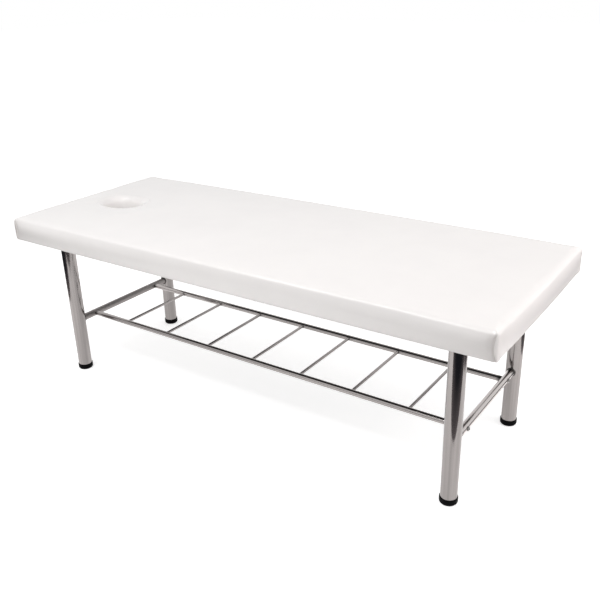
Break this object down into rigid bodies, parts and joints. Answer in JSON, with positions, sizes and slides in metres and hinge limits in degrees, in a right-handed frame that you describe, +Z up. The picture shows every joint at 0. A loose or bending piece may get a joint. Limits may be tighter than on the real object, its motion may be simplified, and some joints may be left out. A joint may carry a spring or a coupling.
{
  "type": "massage bed",
  "caption": "Flat padded massage bed with a rolled face hole, tubular legs on rubber caps and a low storage rack of rails and rungs.",
  "frame": {"origin": "on the floor under the middle of the bed, at the underside of the foot caps", "axes": "+X along the bed towards its foot end, with the face hole at -X; +Y across the bed to its rear side; +Z up"},
  "size_m": [1.8, 0.7, 0.62],
  "materials": {
    "white_leather": "white synthetic leather, satin with a faint pearl sheen and a fine grain",
    "foam": "open cell upholstery foam",
    "plywood": "raw plywood",
    "black_cloth": "thin non-woven cloth",
    "polished_steel": "polished stainless steel tube",
    "zinc_steel": "bright zinc plated steel",
    "black_rubber": "matt black moulded rubber"
  },
  "bodies": {
    "root": {"cover": "white_leather", "face_hole_liner": "white_leather", "foam_pad": "foam", "base_board": "plywood", "dust_cover": "black_cloth", "tee_nuts": "zinc_steel", "leg_head_front": "polished_steel", "leg_head_rear": "polished_steel", "leg_foot_front": "polished_steel", "leg_foot_rear": "polished_steel", "flange_head_front": "polished_steel", "flange_head_rear": "polished_steel", "flange_foot_front": "polished_steel", "flange_foot_rear": "polished_steel", "flange_bolts": "zinc_steel", "flange_washers": "zinc_steel", "foot_cap_head_front": "black_rubber", "foot_cap_head_rear": "black_rubber", "foot_cap_foot_front": "black_rubber", "foot_cap_foot_rear": "black_rubber", "crossbar_head": "polished_steel", "crossbar_foot": "polished_steel", "rail_front": "polished_steel", "rail_rear": "polished_steel", "rung_1": "polished_steel", "rung_2": "polished_steel", "rung_3": "polished_steel", "rung_4": "polished_steel", "rung_5": "polished_steel", "rung_6": "polished_steel", "rung_7": "polished_steel", "rail_inserts": "zinc_steel", "rail_bolts": "zinc_steel", "saddle_washers": "zinc_steel"}
  },
  "joints": []
}
